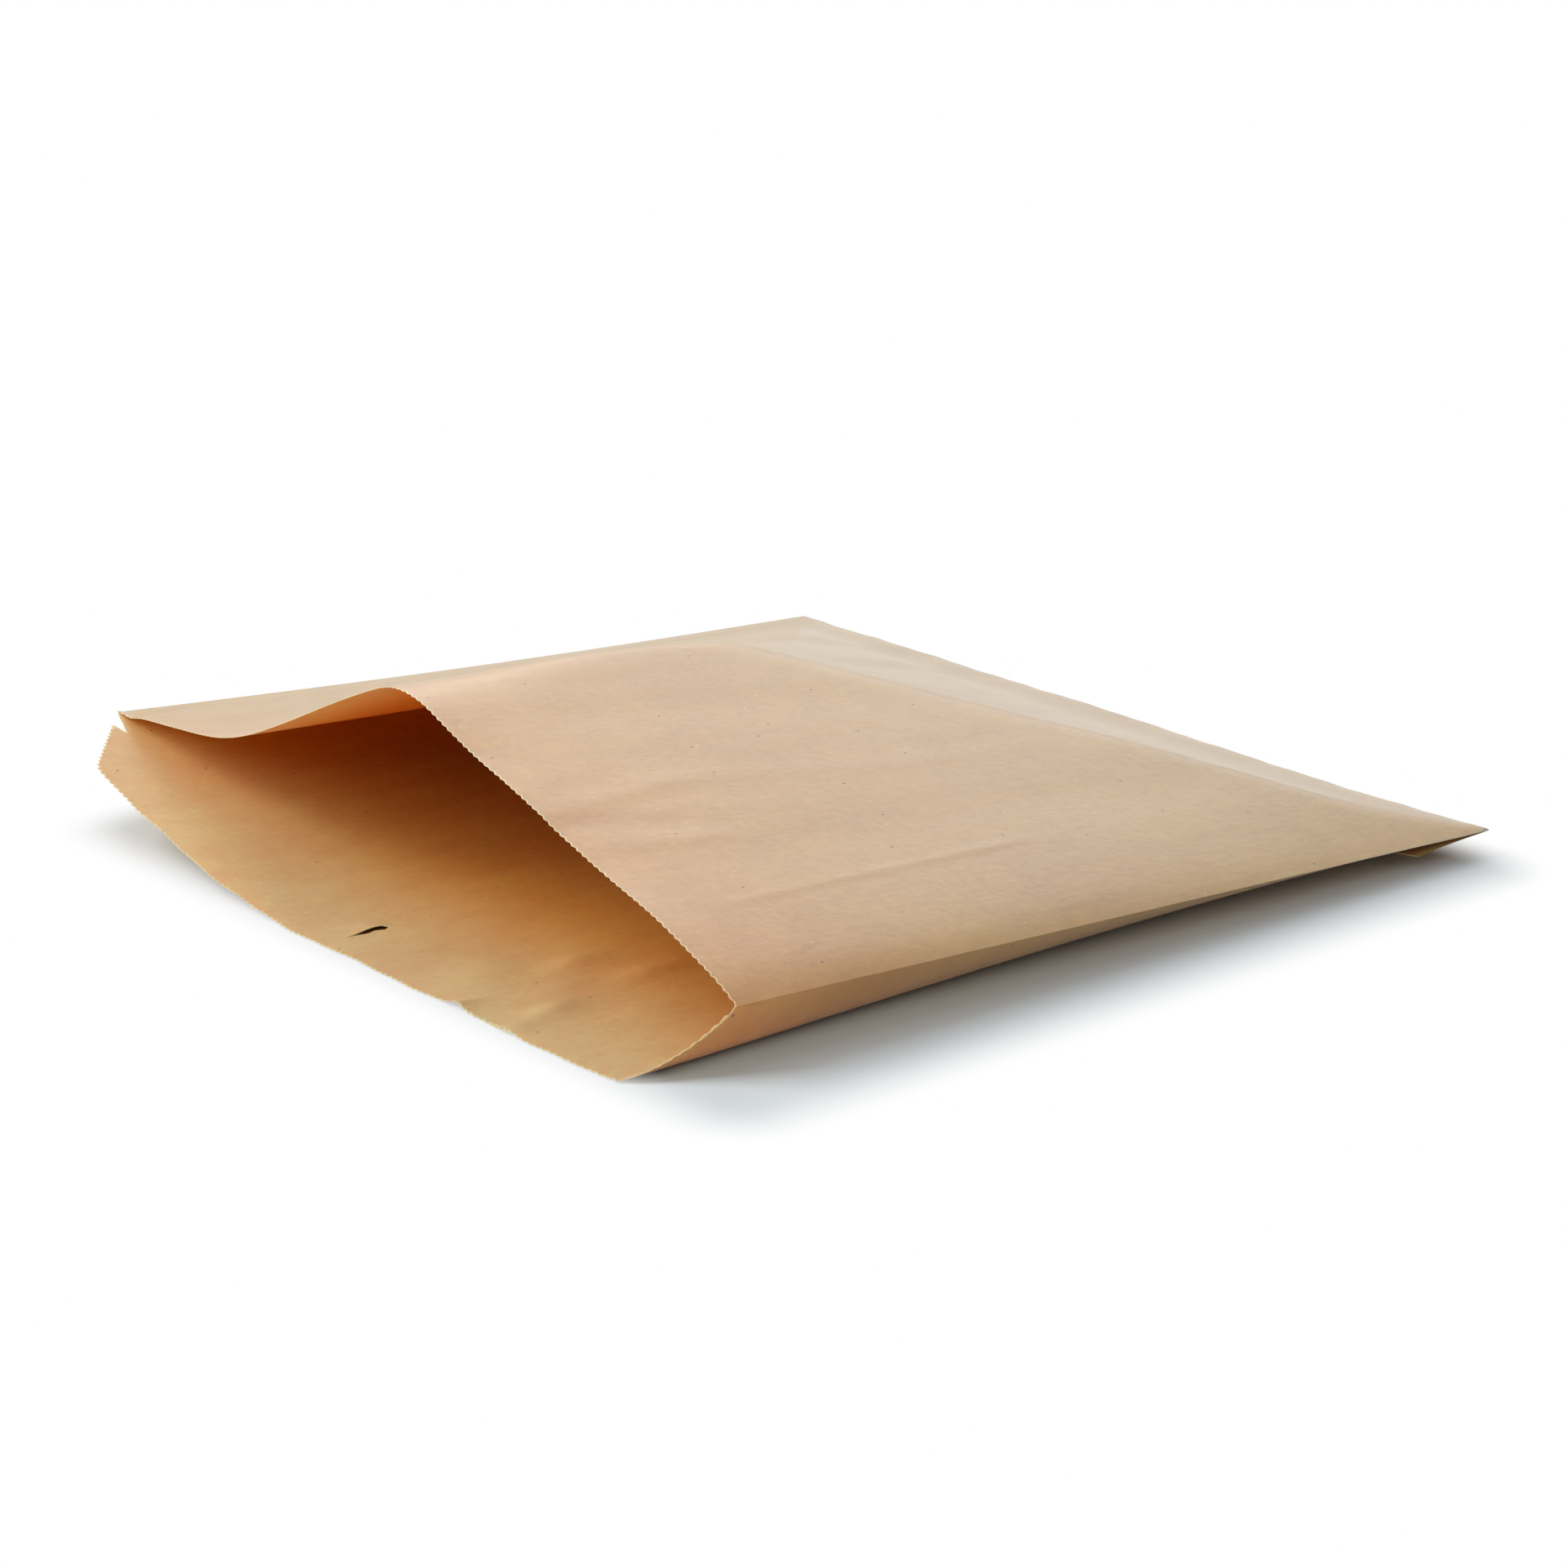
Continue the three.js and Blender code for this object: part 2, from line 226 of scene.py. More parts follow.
def take_out_faces(piece, chosen):
    edit(piece, "FACE")
    piece.data.polygons.foreach_set("select", np.asarray(chosen, bool))
    bpy.ops.object.mode_set(mode="EDIT")
    bpy.ops.mesh.delete(type="FACE")
    bpy.ops.object.mode_set(mode="OBJECT")


SLIT_START = -15.2
SLIT_END = -3.4
SLIT_ACROSS = 123.5
SLIT_AROUND = FAR_CREASE + WIDTH - SLIT_ACROSS
SLIT_SHARES = np.array([0.0, 0.28, 0.5, 0.68, 0.86, 1.0])
SLIT_FAR_RIM = np.array([0.0, 0.15, 0.35, 0.15, 0.45, 0.0])
SLIT_NEAR_RIM = np.array([0.0, 0.3, 0.95, 0.0, 1.2, 0.0])
HALF_ROW = 1.3
at_slit = np.abs(flat[:, 0] - (SLIT_START + SLIT_END) / 2) < HALF_ROW
slit_column = column[at_slit & (flat[:, 1] <= SLIT_AROUND)].max()
slit_sides = [np.where(column == side)[0] for side in (slit_column, slit_column + 1)]
slit_sides = [side[np.argsort(row[side])] for side in slit_sides]
first_slit_row = int(np.argmin(np.abs(flat[slit_sides[0], 0] - SLIT_START)))
slit_rims = [side[first_slit_row:first_slit_row + len(SLIT_SHARES)] for side in slit_sides]
rim_sets = [set(rim.tolist()) for rim in slit_rims]
slit_faces = []
for polygon in bag.data.polygons:
    corners = set(polygon.vertices)
    slit_faces.append(all(len(corners & rim_set) == 2 for rim_set in rim_sets))
for rim, widths in zip(slit_rims, (-SLIT_FAR_RIM, SLIT_NEAR_RIM)):
    points[rim, 0] = (SLIT_START + SLIT_SHARES * (SLIT_END - SLIT_START)) * MM
    points[rim, 1] = (SLIT_AROUND + widths) * MM
write_points(bag, points)
take_out_faces(bag, slit_faces)
print("slit:", sum(slit_faces), "faces out,", round(SLIT_END - SLIT_START, 1), "mm long")

# %% [markdown]
# ## The tear
#
# Beside the far crease the lip is torn for about a centimetre. The tear is a wedge that doesn't
# follow the grid, so two bisect cuts mark its sides first, each only through the faces near its
# own line, and then the faces between the cuts are taken out.

# %% Cut the tear
TEAR_START = np.array([-FAR_SWING - 0.3, FAR_CREASE + 0.2])
TEAR_TIP = np.array([-4.8, FAR_CREASE + 10.5])
TEAR_SHOULDER = np.array([-6.8, FAR_CREASE + 6.2])
BISECT_REACH = 2.5
WEDGE_REACH = 9


def face_middles(piece):
    middles = np.empty(len(piece.data.polygons) * 3)
    piece.data.polygons.foreach_get("center", middles)
    return middles.reshape(-1, 3)[:, :2] / MM


def bisect_between(piece, start, end, reach):
    """Cuts the flat faces near the line from start to end along that line."""
    middles = face_middles(piece)
    way = (end - start) / np.linalg.norm(end - start)
    along = (middles - start) @ way
    beside = (middles - start) @ np.array([-way[1], way[0]])
    chosen = (along > -reach) & (along < np.linalg.norm(end - start) + reach) & (np.abs(beside) < reach)
    edit(piece, "FACE")
    piece.data.polygons.foreach_set("select", chosen)
    bpy.ops.object.mode_set(mode="EDIT")
    bpy.ops.mesh.bisect(
        plane_co=(start[0] * MM, start[1] * MM, 0),
        plane_no=(-way[1], way[0], 0),
        threshold=1e-6,
    )
    bpy.ops.object.mode_set(mode="OBJECT")


def side_of(start, end, places):
    way = end - start
    return np.sign(way[0] * (places[:, 1] - start[1]) - way[1] * (places[:, 0] - start[0]))


bisect_between(bag, TEAR_START, TEAR_TIP, BISECT_REACH)
bisect_between(bag, TEAR_SHOULDER, TEAR_TIP, BISECT_REACH)
middles = face_middles(bag)
wedge_middle = (TEAR_START + TEAR_TIP + TEAR_SHOULDER)[None, :] / 3
in_wedge = np.linalg.norm(middles - wedge_middle, axis=1) < WEDGE_REACH
for start, end in ((TEAR_START, TEAR_TIP), (TEAR_TIP, TEAR_SHOULDER)):
    in_wedge &= side_of(start, end, middles) == side_of(start, end, wedge_middle)
take_out_faces(bag, in_wedge)
print("tear:", int(in_wedge.sum()), "faces out")

# %% [markdown]
# ## What the flat sheet knows
#
# Two things are kept from the flat sheet before it is folded. The UV map is the blank itself, in
# metres, so that the paper's grain follows the sheet round every fold. And each point keeps its
# distance from the knife's cut, because the blunt knife leaves a pale, frayed edge.

# %% Keep the flat sheet's places
flat = read_points(bag)[:, :2] / MM
mesh = bag.data
corner_points = np.empty(len(mesh.loops), int)
mesh.loops.foreach_get("vertex_index", corner_points)
mesh.uv_layers["UVMap"].data.foreach_set("uv", (flat[corner_points] * MM).ravel())

edge_ends = np.empty(len(mesh.edges) * 2, int)
mesh.edges.foreach_get("vertices", edge_ends)
edge_ends = edge_ends.reshape(-1, 2)
corner_edges = np.empty(len(mesh.loops), int)
mesh.loops.foreach_get("edge_index", corner_edges)
faces_on_edge = np.bincount(corner_edges, minlength=len(edge_ends))
cut_points = np.unique(edge_ends[faces_on_edge == 1])
KNIFE_REACH = 1
SLIT_REACH = 3
cut_along, cut_around = flat[cut_points, 0], flat[cut_points, 1]
by_knife = (cut_along < KNIFE_REACH) & (cut_around > 0) & (cut_around < AROUND)
in_slit = (cut_along > SLIT_START - KNIFE_REACH) & (np.abs(cut_around - SLIT_AROUND) < SLIT_REACH)
cut_points = cut_points[by_knife & ~in_slit]
cut_tree = kdtree.KDTree(len(cut_points))
for index, point in enumerate(cut_points):
    cut_tree.insert((flat[point, 0], flat[point, 1], 0), index)
cut_tree.balance()
FARTHEST_CUT = 6
from_cut = np.array([cut_tree.find((a, b, 0))[2] for a, b in flat])
cut_layer = mesh.attributes.new("from_cut", "FLOAT", "POINT")
cut_layer.data.foreach_set("value", np.minimum(from_cut, FARTHEST_CUT))
print(len(cut_points), "points on the cuts")

# %% [markdown]
# ## The creases
#
# The front and the back panel meet at two creases. Both curl up off the table, higher at the mouth,
# where the gaping bag also pulls them together a little. The straight line from crease to crease
# is the chord that both panels bulge from. A cloth simulation could find the shape too, but it
# would stretch the sheet, and paper doesn't stretch. So formulas give the heights, in millimetres,
# as they do for the solid part.

# %% Place the creases
NEAR_CREASE_INSET = 7.8
FAR_CREASE_INSET = 5.2
NEAR_CREASE_HEIGHTS = (14.4, 5)
FAR_CREASE_HEIGHTS = (23.2, 8.5)
FAR_LIP_CURL = 0.25


def lerp(start, end, share):
    return start + (end - start) * share


def chord(along, across):
    """The line between the two creases at this place: its Y, its Z and the ways to the creases."""
    inside = np.maximum(along / LENGTH, 0)
    near_y = NEAR_CREASE_INSET * (1 - inside)
    far_y = WIDTH - FAR_CREASE_INSET * (1 - inside)
    near_z = lerp(*NEAR_CREASE_HEIGHTS, along / LENGTH)
    far_z = lerp(*FAR_CREASE_HEIGHTS, inside) + FAR_LIP_CURL * np.maximum(-along, 0)
    share = across / WIDTH
    span = far_y - near_y
    return near_y + share * span, lerp(near_z, far_z, share), share * span, (1 - share) * span


print("creases at the mouth", NEAR_CREASE_HEIGHTS[0], "and", FAR_CREASE_HEIGHTS[0], "mm high")

# %% [markdown]
# ## The front panel
#
# The front panel stands over the creases as a soft hipped roof: one slope from the near side, one
# from the far side with a flatter shoulder at the mouth, and one from the closed end. Where slopes
# meet they are blended by a power mean, which rounds the ridge like bent paper. Two touches are
# only for the eye, and the solid part does without them: the slopes hollow a little before the far
# crease and the closed end, and the ridge is sharper deep inside and softer towards the closed end.

# %% Shape the front panel
NEAR_SLOPES = (0.305, 0.27)
NEAR_PUFF = 2.4
NEAR_PUFF_REACH = 6
SHOULDER_WIDTH = 49
SHOULDER_SOFTNESS = 6.5
SHOULDER_SLOPE = 0.09
SHOULDER_BEND = 0.38
SHOULDER_FADE = (45, 159)
FAR_SLOPE_INSIDE = 0.25
END_SLOPE = 0.27
FAR_HOLLOW = 1.4
END_HOLLOW = 1.2
HOLLOW_STARTS, HOLLOW_MIDDLE, HOLLOW_REACH = 12, 26, 18
MOUTH_RIDGE, INSIDE_RIDGE, END_RIDGE = 14, 60, 8
RIDGE_SHARPENS = (20, 100)
RIDGE_SOFTENS = (165, 210)


def smoothstep(value, start, end):
    share = np.clip((value - start) / (end - start), 0, 1)
    return share * share * (3 - 2 * share)


def bump(value, middle, reach):
    return np.exp(-(((value - middle) / reach) ** 2))


def hollow(distance, depth):
    return depth * np.clip(distance / HOLLOW_STARTS, 0, 1) * bump(distance, HOLLOW_MIDDLE, HOLLOW_REACH)


def front_height(along, across):
    _, chord_z, from_near, from_far = chord(along, across)
    share = np.clip(along / LENGTH, 0, 1)
    puff = NEAR_PUFF * (1 - share) * (1 - np.exp(-from_near / NEAR_PUFF_REACH))
    near_rise = lerp(*NEAR_SLOPES, share) * from_near + puff
    bent = np.log1p(np.exp((from_far - SHOULDER_WIDTH) / SHOULDER_SOFTNESS))
    unbent = np.log1p(np.exp(-SHOULDER_WIDTH / SHOULDER_SOFTNESS))
    mouth_far_rise = SHOULDER_SLOPE * from_far + SHOULDER_BEND * (SHOULDER_SOFTNESS * (bent - unbent))
    inside_far_rise = FAR_SLOPE_INSIDE * from_far - hollow(from_far, FAR_HOLLOW)
    far_rise = lerp(mouth_far_rise, inside_far_rise, smoothstep(along, *SHOULDER_FADE))
    end_rise = END_SLOPE * (LENGTH - along) - hollow(LENGTH - along, END_HOLLOW)
    ridge = lerp(MOUTH_RIDGE, INSIDE_RIDGE, smoothstep(along, *RIDGE_SHARPENS))
    ridge = lerp(ridge, END_RIDGE, smoothstep(along, *RIDGE_SOFTENS))
    total = sum(np.maximum(rise, 1e-6) ** -ridge for rise in (near_rise, far_rise, end_rise))
    return chord_z + total ** (-1 / ridge)


print("ridge at the mouth", round(float(front_height(np.array(0.0), np.array(WIDTH / 2))), 1), "mm high")

# %% [markdown]
# ## The back panel
#
# The back panel rests on the table, and rolls up from it to both creases and to the closed end,
# where it meets the front panel. Each roll is a power of the distance, so it leaves the table
# gently and is steepest at its rim, like a sheet that is bent up by its edge.

# %% Shape the back panel
NEAR_ROLLS = (13, 28)
FAR_ROLL = 108
END_ROLL = 60
FAR_ROLL_POWER = 1.5


def fade_in(distance, reach):
    """1 at an edge, falling to 0 at this distance from it."""
    return np.clip(1 - distance / reach, 0, 1)


def back_height(along, across):
    _, chord_z, from_near, from_far = chord(along, across)
    share = np.clip(along / LENGTH, 0, 1)
    near_lift = fade_in(from_near, lerp(*NEAR_ROLLS, share)) ** 2
    far_lift = fade_in(from_far, FAR_ROLL) ** FAR_ROLL_POWER
    end_lift = fade_in(LENGTH - along, END_ROLL) ** 2
    return chord_z * (1 - (1 - near_lift) * (1 - far_lift) * (1 - end_lift))


print("back in the middle", round(float(back_height(LENGTH / 2, WIDTH / 2)), 1), "mm high")

# %% [markdown]
# ## Waves and dents
#
# Paper that has been handled is never a plain surface. On the front panel the mouth edge waves a
# little, soft dents run along the panel, and puckers run in from the closed end. They could be
# sculpted by hand, but bumps of the height can be placed by the millimetre. Each is wide compared
# with its depth, so the sheet still looks like paper that bends and doesn't stretch. Waves are
# listed as place across, reach and rise, and streaks as start, end, reach and rise.

# %% Dent the front panel
MOUTH_WAVES = [(112, 7, 0.6), (92, 9, -0.5), (56, 12, -0.5), (27, 10, 0.6), (150, 14, 0.3), (246, 5, -0.9)]
MOUTH_WAVE_REACH = 10
FRONT_STREAKS = [
    ((8, 68), (40, 72), 3.0, 0.16),
    ((37, 72), (114, 63), 3.2, 0.08),
    ((11, 61), (26, 58), 3.0, -0.14),
    ((0, 54), (27, 51), 3.0, 0.14),
    ((23, 28), (101, 30), 1.2, 0.12),
    ((60, 44), (150, 40), 9.0, -0.2),
    ((40, 100), (118, 92), 7.0, -0.15),
]
END_PUCKERS = [
    ((222, 208), (150, 172), 5.0, 0.25),
    ((222, 196), (158, 163), 5.0, -0.35),
    ((222, 181), (135, 130), 5.0, 0.3),
    ((221, 170), (145, 128), 4.5, -0.3),
    ((221, 146), (152, 108), 5.0, 0.25),
    ((221, 118), (160, 84), 5.0, -0.25),
    ((221, 96), (172, 66), 4.5, 0.2),
    ((221, 72), (182, 50), 4.0, -0.2),
]
STREAK_END = 4
FADE_AT_CREASES = 6
FADE_AT_END = 9


def streak(along, across, start, end, reach):
    """A soft line from start to end, fading out beyond both."""
    start, end = np.array(start, float), np.array(end, float)
    way = end - start
    length = np.linalg.norm(way)
    way /= length
    travel = (along - start[0]) * way[0] + (across - start[1]) * way[1]
    aside = (across - start[1]) * way[0] - (along - start[0]) * way[1]
    past = np.maximum(np.maximum(-travel, travel - length), 0)
    return np.exp(-((aside / reach) ** 2) - (past / (STREAK_END * reach)) ** 2)


def front_marks(along, across):
    height = np.zeros_like(along)
    for middle, reach, rise in MOUTH_WAVES:
        height += rise * bump(across, middle, reach) * np.exp(-np.maximum(along, 0) / MOUTH_WAVE_REACH)
    for start, end, reach, rise in FRONT_STREAKS + END_PUCKERS:
        height += rise * streak(along, across, start, end, reach)
    off_near = np.clip(across / FADE_AT_CREASES, 0, 1)
    off_far = np.clip((WIDTH - across) / FADE_AT_CREASES, 0, 1)
    off_end = np.clip((LENGTH - along) / FADE_AT_END, 0, 1)
    return height * (off_near * off_far) * off_end


print(len(MOUTH_WAVES), "waves at the mouth,", len(FRONT_STREAKS + END_PUCKERS), "streaks on the front")

# %% [markdown]
# ## Sagging creases
#
# The far crease and the closed end sag between their corners, and the fold at the closed end is a
# little jagged. Both panels have to follow, or the bag would come apart at its creases, so one
# height is worked out here and added to front and back alike. Jags are listed as depth, pitch and
# lag.

# %% Sag the creases
FAR_SAG, FAR_SAG_REACH = 1.1, 70
END_SAG, END_SAG_REACH = 0.8, 40
END_SAG_MIDDLE, END_SAG_SPREAD = 55, 38
END_JAGS = [(0.05, 1.9, 0), (0.07, 4.3, 1), (0.1, 11, 2)]
END_JAG_REACH = 8


def crease_sag(along, across):
    between_ends = np.sin(np.pi * np.clip(along / LENGTH, 0, 1))
    far = -FAR_SAG * between_ends * fade_in(WIDTH - across, FAR_SAG_REACH) ** 2
    between_corners = bump(across, END_SAG_MIDDLE, END_SAG_SPREAD)
    end = -END_SAG * between_corners * fade_in(LENGTH - along, END_SAG_REACH) ** 2
    jagged = sum(depth * np.sin(across / pitch + lag) for depth, pitch, lag in END_JAGS)
    return far + end + jagged * fade_in(LENGTH - along, END_JAG_REACH)


print("the far crease sags by", FAR_SAG, "mm and the closed end by", END_SAG, "mm")

# %% [markdown]
# ## The lip and the lap
#
# Damp glue makes paper cockle, so the back panel is lumpy along the lap. The lip doesn't lie quite
# flat, lifts on one side of the slit, and curls up at its edge beside the lap. These are bumps of
# the height again. Cockles are listed as place, reach along, reach across and rise.

# %% Cockle the back panel
LAP_COCKLES = [
    ((14, 75), 8, 5, 1.4),
    ((2, 64), 6, 4, 0.7),
    ((-7, 54), 6, 4, 1.4),
    ((-18, 51), 4, 3, 0.7),
    ((23, 60), 10, 5, 1.1),
    ((-4, 84), 8, 6, 0.8),
    ((8, 40), 8, 5, 0.7),
]
LIP_RISE = 0.12
SLIT_LIFT, SLIT_LIFT_REACH = 0.8, 6
SLIT_CLOSED = 0.01
LAP_CURL, LAP_CURL_REACH = 1.5, 3.4
LAP_CURL_MIDDLE = 69.5
LAP_CURL_START, LAP_CURL_RUN = 10, 12


def back_marks(along, across):
    height = LIP_RISE * np.clip(-along / LIP, 0, 1)
    slit_share = np.clip((along - SLIT_START) / (SLIT_END - SLIT_START), 0, 1)
    past_slit = across - SLIT_ACROSS
    slit_lift = SLIT_LIFT * np.sin(np.pi * slit_share ** 2)
    height += slit_lift * bump(past_slit, 0, SLIT_LIFT_REACH) * (past_slit > SLIT_CLOSED)
    curl_share = np.clip(-(along + LAP_CURL_START) / LAP_CURL_RUN, 0, 1)
    height += LAP_CURL * bump(across, LAP_CURL_MIDDLE, LAP_CURL_REACH) * curl_share ** 2
    for place, reach_along, reach_across, rise in LAP_COCKLES:
        height += rise * bump(along, place[0], reach_along) * bump(across, place[1], reach_across)
    return height


print(len(LAP_COCKLES), "cockles along the lap")

# %% [markdown]
# ## Which panel a point is on
#
# A point's place around the blank says which panel it is on and how far across it lies. The flap
# is the end of the tube, folded back at the closed end, so its points are mirrored there. By hand
# one could turn each panel about its crease, but a sheet that also bulges is easier to place point
# by point.

# %% Find each point's panel
along, around = flat[:, 0], flat[:, 1]
is_near_back = around <= NEAR_CREASE
is_far_back = around >= FAR_CREASE
is_front = ~(is_near_back | is_far_back)
across = np.where(is_near_back, NEAR_CREASE - around, around - NEAR_CREASE)
across = np.where(is_far_back, WIDTH - (around - FAR_CREASE), across)
in_flap = np.maximum(along - LENGTH, 0)
panel_along = np.minimum(along, 2 * LENGTH - along)
off_crease = np.clip(np.minimum(across, WIDTH - across), 0, 1)
print(int(is_front.sum()), "points on the front,", int((in_flap > 0).sum()), "in the flap")

# %% [markdown]
# ## Raising the panels
#
# Now the front and the back get their heights. Where two layers lie on each other they are kept a
# hair apart: at the lap the near part of the back lies over the far part, so it steps up by one
# layer. At the closed end the fold is opened a little, because paper doesn't fold to nothing.

# %% Raise the panels
PAPER = 0.11
LAYER_GAP = 0.02
LAYER = PAPER + LAYER_GAP
LAP_RAMP = (43, 50)
FOLD_RUN = 6
FOLD_OPENING = 0.1
sag = crease_sag(panel_along, across)
front_z = front_height(panel_along, across) + sag + front_marks(panel_along, across)
back_z = np.maximum(back_height(panel_along, across) + sag, 0) + back_marks(panel_along, across)
lap_step = LAYER * smoothstep(across, *LAP_RAMP) * is_near_back
height = np.where(is_front, front_z, back_z + lap_step)
at_fold = smoothstep(along, LENGTH - FOLD_RUN, LENGTH) * (in_flap == 0)
height = height + at_fold * off_crease * np.where(is_front, FOLD_OPENING, -FOLD_OPENING)
print("front panel up to", round(float(front_z[is_front].max()), 1), "mm high")

# %% [markdown]
# ## The flap
#
# Under the closed end the flap lies with its back layer against the back panel and its front layer
# below that, and over the lap it steps down by one layer more. Its near corner has come loose, and
# droops. Then the whole sheet is moved into the frame of the part.

# %% Fold the flap under
FLAP_LAP_RAMPS = ((41, 48), (78, 71))
FOLD_SETBACK = 0.35
DROOP, DROOP_WIDTH, DROOP_POWER = 2.3, 24, 1.5
X_MIDDLE = (LENGTH - LIP) / 2
flap_back = -LAYER_GAP - lap_step
over_lap = smoothstep(across, *FLAP_LAP_RAMPS[0]) * smoothstep(across, *FLAP_LAP_RAMPS[1])
flap_front = -LAYER_GAP - 2 * LAYER - LAYER * over_lap
flap_middle = -LAYER_GAP - LAYER
flap_layer = lerp(flap_middle, np.where(is_front, flap_front, flap_back), off_crease)
droop_share = fade_in(across, DROOP_WIDTH) ** DROOP_POWER * np.clip(in_flap / FLAP, 0, 1) ** DROOP_POWER
flap_z = back_height(panel_along, across) + sag + flap_layer - DROOP * droop_share
height = np.where(in_flap > 0, flap_z, height)

folded = np.empty((len(flat), 3))
folded[:, 0] = panel_along - X_MIDDLE - FOLD_SETBACK * (~is_front) * off_crease * at_fold
folded[:, 1] = chord(panel_along, across)[0] - WIDTH / 2
folded[:, 2] = height
write_points(bag, folded * MM)
print("folded from", folded.min(axis=0).round(1).tolist(), "to", folded.max(axis=0).round(1).tolist())

# %% [markdown]
# ## Thickness
#
# Paper is thin, but not without thickness, and its cut edge shows as a pale line. The faces could
# be extruded along their normals. Solidify does the same and closes the rim as well: it keeps the
# outside where it is and adds the inside, with the next material for the inner face and the one
# after it for the cut edge.

# %% Give the paper its thickness
SMOOTH_ANGLE = math.radians(40)
bpy.ops.object.select_all(action="DESELECT")
bag.select_set(True)
bpy.context.view_layer.objects.active = bag
thickness = bag.modifiers.new("thickness", "SOLIDIFY")
thickness.thickness = PAPER * MM
thickness.offset = -1
thickness.material_offset = 1
thickness.material_offset_rim = 2
for name in ("glazed_kraft", "rough_kraft", "cut_kraft"):
    finish = bpy.data.materials.new(name)
    finish.use_nodes = True
    bag.data.materials.append(finish)
bpy.ops.object.modifier_apply(modifier=thickness.name)
bpy.ops.object.shade_smooth_by_angle(angle=SMOOTH_ANGLE)
print(len(bag.data.polygons), "faces,", sum(len(p.vertices) - 2 for p in bag.data.polygons), "triangles")

# %% [markdown]
# ## Nodes and colours
#
# A finish is a small network of nodes. By hand they are added in the shader editor and wired there,
# and here one function adds a node, sets it and wires it. Colours are written as hex codes, as in a
# paint program, and are made linear for the renderer.


# %% Add nodes and colours
def to_linear(code):
    """An sRGB hex colour as linear RGBA."""
    values = [int(code[i:i + 2], 16) / 255 for i in (1, 3, 5)]
    return [v / 12.92 if v <= 0.04045 else ((v + 0.055) / 1.055) ** 2.4 for v in values] + [1]


def add_node(tree, kind, settings):
    """One node. A setting is an attribute or an input, and an input that is given a socket is linked."""
    node = tree.nodes.new(kind)
    for name, value in settings.items():
        if isinstance(name, str) and hasattr(node, name):
            setattr(node, name, value)
        elif isinstance(value, bpy.types.NodeSocket):
            tree.links.new(value, node.inputs[name])
        else:
            node.inputs[name].default_value = value
    return node


print("white in linear light:", to_linear("#ffffff"))

# %% [markdown]
# ## The sheet's patterns
#
# Up close, kraft paper is uneven: the fibres lie thicker in some places and run along the machine
# direction, and specks of bark and straw are left in it. A picture of paper could be laid on, but
# patterns that are worked out from real sizes stay sharp and never repeat. Noise that is stretched
# along the sheet gives the fibres, and cells with a grain in some of them give the specks.

# %% Draw the sheet's patterns
SPECK_STRETCH = 0.55
SPECK_CORE = 0.5


def sheet_pattern(tree, place, size_along, size_across, detail):
    """Noise with features of so many millimetres along and across the sheet, about 0 to 1."""
    scale = (1 / (size_along * MM), 1 / (size_across * MM), 1)
    scaled = add_node(tree, "ShaderNodeMapping", {"Vector": place, "Scale": scale}).outputs[0]
    look = {"Vector": scaled, "Scale": 1.0, "Detail": detail, "Roughness": 0.55}
    return add_node(tree, "ShaderNodeTexNoise", look).outputs[0]


def specks(tree, place, spacing, radius, share):
    """1 in small grains of about this radius in mm, one to so many mm, in a share of the places."""
    scale = (SPECK_STRETCH / (spacing * MM), 1 / (spacing * MM), 1)
    scaled = add_node(tree, "ShaderNodeMapping", {"Vector": place, "Scale": scale}).outputs[0]
    flat_cells = {"voronoi_dimensions": "2D", "Vector": scaled, "Scale": 1.0}
    cells = add_node(tree, "ShaderNodeTexVoronoi", flat_cells).outputs
    edges = {"From Min": radius / spacing, "From Max": SPECK_CORE * radius / spacing}
    grain = add_node(tree, "ShaderNodeMapRange", {"Value": cells["Distance"], **edges}).outputs[0]
    chance = add_node(tree, "ShaderNodeSeparateColor", {"Color": cells["Color"]}).outputs[0]
    kept = add_node(tree, "ShaderNodeMath", {"operation": "LESS_THAN", 0: chance, 1: share}).outputs[0]
    return add_node(tree, "ShaderNodeMath", {"operation": "MULTIPLY", 0: grain, 1: kept}).outputs[0]


print("patterns lie on the map", bag.data.uv_layers[0].name)

# %% [markdown]
# ## Kraft paper
#
# Machine-glazed kraft paper is unbleached wood fibre. The outside was pressed against a hot
# polished roll and has a dull shine; the inside stayed rough. To the eye it gives: a warm brown,
# faint patches and clouds where the fibres lie thicker, fine streaks along the machine direction,
# and a few dark or pale specks of bark and straw. Loose fibres on the outside catch light at a
# glancing angle, which is sheen. The paper is thin, so light also passes through it, and comes out
# more orange: subsurface does that. On the inside the colour is painted paler at the mouth, which
# is painted light, and deeper orange brown in the bag, which is painted shade.

# %% Mix the paper
GLAZE_SPREAD = 0.08


